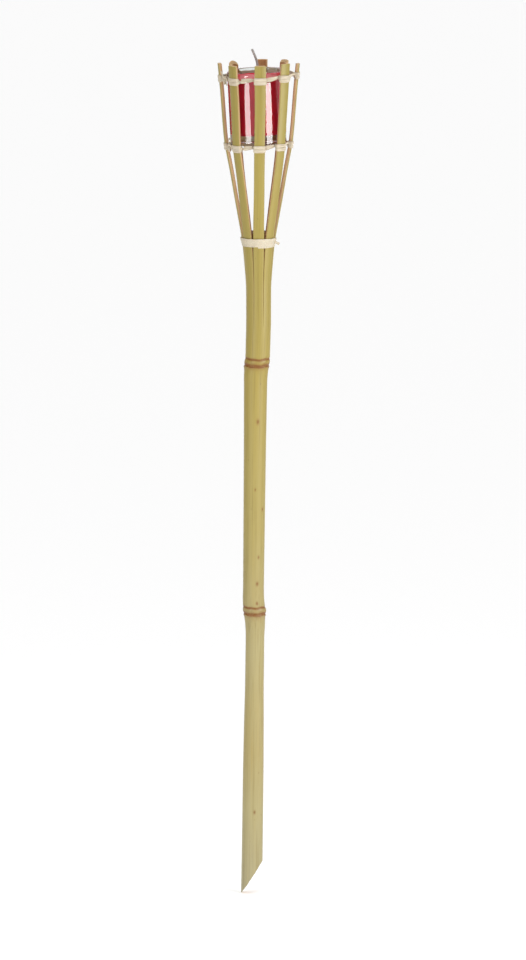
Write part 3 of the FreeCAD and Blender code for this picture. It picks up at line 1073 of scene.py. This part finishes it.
def cord_end(start, stops, out):
    """A loose end that leaves the knot: straight runs between stops, rounded at the corners."""
    points = np.array([start + np.array(stop) for stop in stops])
    path, facing, _ = even_steps(points, np.broadcast_to(out, points.shape), 0.3, False)
    return rounded(path, 3.0, False), facing


def knot_spot(height, tilt):
    """On the link between stave_7 and stave_8, close to stave_7, and the way out of the basket."""
    angle = stave_angle(6) + HALF_PITCH * 0.78
    reach = float(stave_radius(height)) * 0.865
    out = np.array([math.cos(angle), math.sin(angle), 0.0])
    return out * reach + np.array([0, 0, height + reach * math.cos(angle) * math.tan(tilt)]), out


def make_lashing(name, node, height, tilt, tails, cord, seed):
    """The lashing's cord, its knot and its loose ends, as one piece."""
    path, facing, widths = lashing_path(height, tilt, seed)
    loop, loop_grain = ribbon(path, facing, widths, CORD_THICKNESS, True, seed=seed)
    centre, out = knot_spot(height, tilt)
    knot, knot_normals = knot_path(centre + out * 1.0, out, 3.4)
    knot_points, knot_grain = ribbon(knot, knot_normals, 2.0, 1.4, True, 3, seed)
    ends = []
    end_grain = []
    for stops in tails:
        end, end_facing = cord_end(centre + out * 1.2, stops, out)
        tube, tube_grain = ribbon(end, end_facing, 1.9, 0.8, False, 3, seed)
        ends.append(tube)
        end_grain.append(with_ends(tube_grain))
    looped = looped_mesh([loop, knot_points])
    closed = closed_mesh(ends)
    shift = len(looped[0])
    faces = looped[1] + [[corner + shift for corner in face] for face in closed[1]]
    grain = np.concatenate([loop_grain.reshape(-1, 3), knot_grain.reshape(-1, 3), *end_grain])
    data = (np.concatenate([looped[0], closed[0]]), faces)
    make_piece(name, data, cord, "torch", [node], fields={"grain": grain})


def make_binding(strip):
    """Three overlapping turns of a thin strip round the neck, and its loose end.

    The strip's radius follows the rounded octagon of the eight staves, plus one thickness for
    each turn under it.
    """
    low = bottom_of("neck_binding") + STRIP_WIDTH / 2
    high = top_of("neck_binding") - STRIP_WIDTH / 2
    turns = 3.2
    angle = np.linspace(0, 2 * math.pi * turns, int(120 * turns)) + math.radians(-20 - 360 * turns)
    share = np.linspace(0, 1, len(angle))
    z = low + (high - low) * (0.5 - 0.5 * np.cos(math.pi * share)) + wander(angle, 5, 0.18, 4.0, 2.1)
    across = np.cos(STAVES * (angle - stave_angle(0)))
    radius = stave_radius(z) + 0.15 * across - 0.1 + STRIP_THICKNESS * (0.6 + share * turns * 0.75)
    path = np.stack([radius * np.cos(angle), radius * np.sin(angle), z], axis=1)
    facing = np.stack([np.cos(angle), np.sin(angle), np.full(len(angle), -0.14)], axis=1)
    tube, grain = ribbon(path, facing, STRIP_WIDTH, STRIP_THICKNESS, False, 7, 9)

    start = path[-1]
    way = math.radians(-14)
    out = np.array([math.cos(way), math.sin(way), -0.12])
    behind = np.array([math.cos(angle[-1]), math.sin(angle[-1]), 0.0])
    stops = np.array(
        [
            start - behind * 0.3 - [0, 1.5, 1.6],
            start + behind * 0.4 - [0, 0.2, 1.8],
            start + out * 1.8 - [0, 0, 2.6],
            start + out * 4.2 - [0, 0, 3.2],
        ]
    )
    tail, _, _ = even_steps(stops, stops, 0.3, False)
    tail = rounded(tail, 2.5, False)
    tail_facing = np.broadcast_to(np.array([-math.sin(way), -math.cos(way), 0.0]), tail.shape)
    tail_tube, tail_grain = ribbon(tail, tail_facing, 2.4, 0.45, False, 5, 11)
    fields = {"grain": np.concatenate([with_ends(grain), with_ends(tail_grain)])}
    data = closed_mesh([tube, tail_tube])
    make_piece("neck_strip", data, strip, "torch", ["neck_binding"], fields=fields)


# ---------------------------------------------------------------- turned and poured pieces

def turned(profile, columns):
    """A surface of revolution about Z from (radius, height) rows, as a grid of points."""
    profile = np.asarray(profile, dtype=float)
    around = np.linspace(0, 2 * math.pi, columns, endpoint=False)
    radius, height = profile[:, 0, None], profile[:, 1, None]
    return np.stack(
        np.broadcast_arrays(radius * np.cos(around), radius * np.sin(around), height), axis=-1
    )


def arc(middle, radius, start, end, count):
    """Points (radius, height) on an arc, with its angles in degrees."""
    angle = np.radians(np.linspace(start, end, count))
    return np.stack([middle[0] + radius * np.cos(angle), middle[1] + radius * np.sin(angle)], axis=1)


def seated(points):
    """Moves points from the candle's upright frame into the tilted seat."""
    turn = np.array(Matrix.Rotation(-SEAT_TILT, 3, "Y"))
    return points @ turn.T + np.array([0.0, 0.0, GLASS_BASE])


def outer_radius(height):
    """The tumbler's outer radius, which grows evenly from the base to the rim."""
    return GLASS_BASE_RADIUS + GLASS_FLARE * height / GLASS_HEIGHT


def make_plug(wood):
    """The tapered plug between the staves, with its top edge broken by a small chamfer."""
    low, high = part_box("spreader_plug")
    bottom, top = low.z / MM, high.z / MM
    heights = np.array([bottom, bottom + 0.5, NECK, top - 0.7, top])
    radius = stave_radius(heights) - CULM_WALL - 0.6
    radius[0] = radius[0] - 0.6
    radius[-1] = radius[-2] - 0.7
    rows = [(0.4, bottom)] + list(zip(radius, heights)) + [(radius[-1] - 1, top), (0.4, top + 0.05)]
    data = closed_mesh([turned(rows, 72)])
    make_piece("neck_plug", data, wood, "torch", ["spreader_plug"])


def make_glass(glass):
    """The pressed tumbler: a shallow hollow under the foot, a rounded foot, a slightly flared
    wall, a rounded rim and a thick floor with a rounded inner corner."""
    rim = outer_radius(GLASS_HEIGHT) - GLASS_WALL / 2
    rim_middle = (rim, GLASS_HEIGHT - GLASS_WALL / 2)
    floor = outer_radius(GLASS_FLOOR) - GLASS_WALL
    rows = [(0.3, 0.9), (6.0, 0.88), (12.0, 0.8), (17.0, 0.6), (20.5, 0.25), (22.3, 0.03)]
    rows += arc((GLASS_BASE_RADIUS - FOOT_FILLET, FOOT_FILLET), FOOT_FILLET, -90, 0, 9).tolist()
    rows += [(outer_radius(z), z) for z in np.linspace(4, GLASS_HEIGHT - 3, 14)]
    rows += arc(rim_middle, GLASS_WALL / 2, 0, 180, 13).tolist()
    rows += [(outer_radius(z) - GLASS_WALL, z) for z in np.linspace(GLASS_HEIGHT - 3, GLASS_FLOOR + 4, 14)]
    rows += arc((floor - 3.0, GLASS_FLOOR + 3.0), 3.0, 0, -90, 9).tolist()
    rows += [(15.0, GLASS_FLOOR - 0.05), (8.0, GLASS_FLOOR - 0.1), (0.3, GLASS_FLOOR - 0.1)]
    data = closed_mesh([seated(turned(rows, 128))])
    make_piece("candle_glass_cup", data, glass, "candle_glass", ["glass_cup"])


def make_wax(wax):
    """The wax: it wets the glass, so its side lies just inside the glass's surface. Its top
    climbs a little at the glass and at the wick and sinks between them."""
    grip = 0.06
    wall = [(outer_radius(z) - GLASS_WALL + grip, z) for z in np.linspace(GLASS_FLOOR + 4, WAX_TOP - 1, 16)]
    floor = outer_radius(GLASS_FLOOR) - GLASS_WALL
    top_radius = outer_radius(WAX_TOP) - GLASS_WALL + grip
    rows = [(0.3, GLASS_FLOOR - grip), (10.0, GLASS_FLOOR - grip), (16.0, GLASS_FLOOR - grip)]
    rows += arc((floor - 3.0, GLASS_FLOOR + 3.0), 3.0 + grip, -90, 0, 9).tolist()
    rows += wall
    steps = np.concatenate([[0.0, 0.08, 0.2, 0.4, 0.7, 1.1, 1.7, 2.6], np.linspace(4, 23.5, 26)])
    inward = top_radius - steps
    rows += [(radius, WAX_TOP) for radius in inward]
    points = turned(rows, 128)
    top = len(rows) - len(inward)
    face = points[top:]
    at_glass = 0.9 * np.exp(-(top_radius - np.hypot(face[..., 0], face[..., 1])) / 0.9)
    at_wick = 1.1 * np.exp(-np.hypot(face[..., 0] - WICK_OFFSET, face[..., 1]) / 1.3)
    face[..., 2] += at_glass + at_wick - 0.25 + 0.1 * np.sin(face[..., 0] / 5) * np.cos(face[..., 1] / 6)
    data = closed_mesh([seated(points)])
    make_piece("poured_wax", data, wax, "candle_glass", ["wax"])


def make_wick(cotton):
    """The wick: a round braid carried up its path, with three twisted yarns as lobes, thinner
    towards its cut end."""
    rest = 13.0
    bend = math.radians(21.0)
    top = WAX_TOP + 27.0
    stops = np.array(
        [
            (WICK_OFFSET, 0, GLASS_FLOOR + 0.5),
            (WICK_OFFSET, 0, WAX_TOP + 14.0),
            (WICK_OFFSET - rest * math.tan(bend), 0, top - 0.2),
        ]
    )
    path, _, travelled = even_steps(stops, stops, 0.35, False)
    path = rounded(path, 9.0, False)
    tangent = np.gradient(path, axis=0)
    tangent = tangent / np.linalg.norm(tangent, axis=1, keepdims=True)
    side = np.array([0.0, 1.0, 0.0])
    front = np.cross(tangent, side)
    around = np.linspace(0, 2 * math.pi, 24, endpoint=False)
    lay = 2 * math.pi * travelled[:, None] / 5.0
    radius = 1.0 + 0.14 * np.cos(3 * (around + lay / 3)) * np.cos(3 * (around - lay / 3))
    radius = radius * np.interp(travelled, [0, travelled[-1] - 1.2, travelled[-1]], [1, 1, 0.72])[:, None]
    points = path[:, None] + front[:, None] * (radius * np.cos(around))[..., None]
    points = points + side * (radius * np.sin(around))[..., None]
    data = closed_mesh([seated(points)])
    make_piece("braided_wick", data, cotton, "candle_glass", ["wick"])


def make_sustainer(tin):
    """The wick's pressed tin foot, as it was designed."""
    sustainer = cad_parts["wick_sustainer"]
    sustainer.data.materials.clear()
    sustainer.data.materials.append(tin)


# ---------------------------------------------------------------- surroundings

def make_floor():
    """A plain pale floor, level with the tip of the foot and wide enough to fill the view."""
    m = new_material("pale_matt_paint")
    shader = add(m, "ShaderNodeBsdfPrincipled", inputs={"Base Color": colour("#FDFDFD"), "Roughness": 0.9})
    add(m, "ShaderNodeOutputMaterial", inputs={"Surface": shader.outputs[0]})
    reach = 9.0
    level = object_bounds()[0][2]
    corners = [
        (-reach, -reach, level),
        (reach, -reach, level),
        (reach, reach, level),
        (-reach, reach, level),
    ]
    mesh = bpy.data.meshes.new("floor")
    mesh.from_pydata(corners, [], [(0, 1, 2, 3)])
    mesh.materials.append(m)
    floor = bpy.data.objects.new("floor", mesh)
    bpy.context.scene.collection.objects.link(floor)


def add_softbox(name, bearing, height, width, tall, watts):
    """A rectangular light a metre from the basket, facing it, placed by its bearing from the
    front. Its place is the distance times the bearing's sine and minus its cosine."""
    distance = 1.0
    data = bpy.data.lights.new(name, "AREA")
    data.shape = "RECTANGLE"
    data.size = width
    data.size_y = tall
    data.energy = watts
    light = bpy.data.objects.new(name, data)
    turn = math.radians(bearing)
    light.location = (distance * math.sin(turn), -distance * math.cos(turn), height)
    aim = Vector((0.0, 0.0, height)) - light.location
    light.rotation_euler = aim.to_track_quat("-Z", "Y").to_euler()
    light.visible_camera = False
    bpy.context.scene.collection.objects.link(light)


def make_light():
    """White surroundings that light less from the sides, and two softboxes at the basket's
    height. The backdrop itself looks white from every side."""
    world = bpy.data.worlds.new("studio")
    world.use_nodes = True
    world.node_tree.nodes.clear()
    place = add(world, "ShaderNodeTexCoord")
    parts = add(world, "ShaderNodeSeparateXYZ", inputs={0: place.outputs["Generated"]})
    across = add(world, "ShaderNodeMapRange", inputs={"Value": parts.outputs["X"], "From Min": -1.0})
    tone = add(
        world,
        "ShaderNodeValToRGB",
        inputs={0: across.outputs[0]},
        stops=[(0.0, "#383838"), (0.3, "#FFFFFF"), (0.7, "#FFFFFF"), (1.0, "#747474")],
    )
    path = add(world, "ShaderNodeLightPath")
    seen = add(
        world,
        "ShaderNodeMix",
        {"data_type": "RGBA"},
        {0: path.outputs["Is Camera Ray"], 6: tone.outputs[0], 7: colour("#FFFFFF")},
    )
    background = add(world, "ShaderNodeBackground", inputs={"Color": seen.outputs[2], "Strength": 1.2})
    add(world, "ShaderNodeOutputWorld", inputs={"Surface": background.outputs[0]})
    bpy.context.scene.world = world
    bpy.context.scene.view_settings.view_transform = "Standard"
    add_softbox("softbox_right", bearing=55.0, height=0.55, width=0.74, tall=0.20, watts=6.8)
    add_softbox("softbox_left", bearing=-40.0, height=0.54, width=0.40, tall=0.18, watts=2.6)


# ---------------------------------------------------------------- assembly

make_camera()
skin = bamboo_skin()
cut = split_bamboo()
cord = fibre("flat_fibre_cord", "#CBBFA9", "#A2947C", CORD_THREAD, 0.78)
strip = fibre("white_woven_strip", "#CBC0AA", "#AEA28C", STRIP_THREAD, 0.7)

make_pole(skin, cut)
for number in range(STAVES):
    make_stave(number, skin, cut)
make_plug(plug_wood())
make_binding(strip)
make_lashing(
    "seat_lashing",
    "lower_lashing",
    SEAT,
    SEAT_TILT,
    SEAT_ENDS,
    cord,
    31,
)
make_lashing(
    "crown_lashing",
    "upper_lashing",
    UPPER_LASHING,
    UPPER_TILT,
    CROWN_ENDS,
    cord,
    57,
)
make_glass(clear_glass())
make_wax(red_wax())
make_wick(waxed_cotton())
make_sustainer(tinplate())
make_floor()
make_light()
